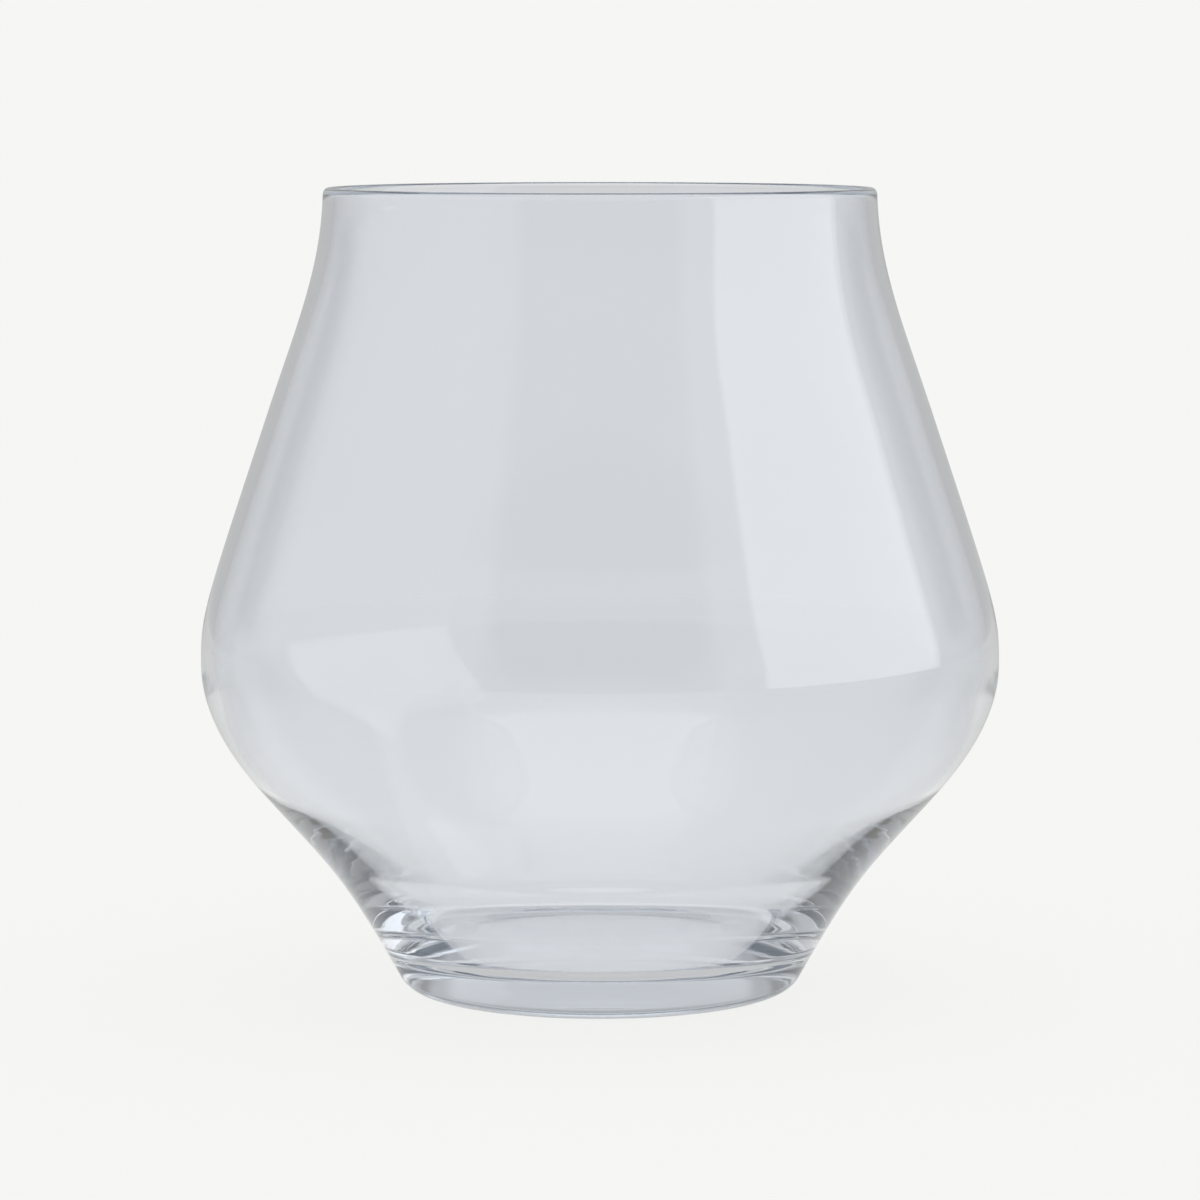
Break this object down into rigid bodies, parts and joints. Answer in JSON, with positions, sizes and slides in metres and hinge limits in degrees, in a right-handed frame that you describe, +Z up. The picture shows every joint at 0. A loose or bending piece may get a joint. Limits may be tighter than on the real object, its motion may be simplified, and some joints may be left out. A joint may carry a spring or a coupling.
{
  "type": "mixing glass",
  "caption": "Footed glass vessel for stirring drinks: narrow upright mouth, straight slope to a low wide belly, flank drawn in to a thick round foot.",
  "frame": {"origin": "centre of the circle that the glass stands on, at the level of the surface under it", "axes": "+Z up along the axis of revolution, through the open mouth; +X and +Y are any two level directions"},
  "size_m": [0.1192, 0.1192, 0.12],
  "materials": {
    "clear_glass": "fire-polished clear glass with a faint cool grey cast"
  },
  "bodies": {
    "root": {"glass_vessel": "clear_glass"}
  },
  "joints": []
}
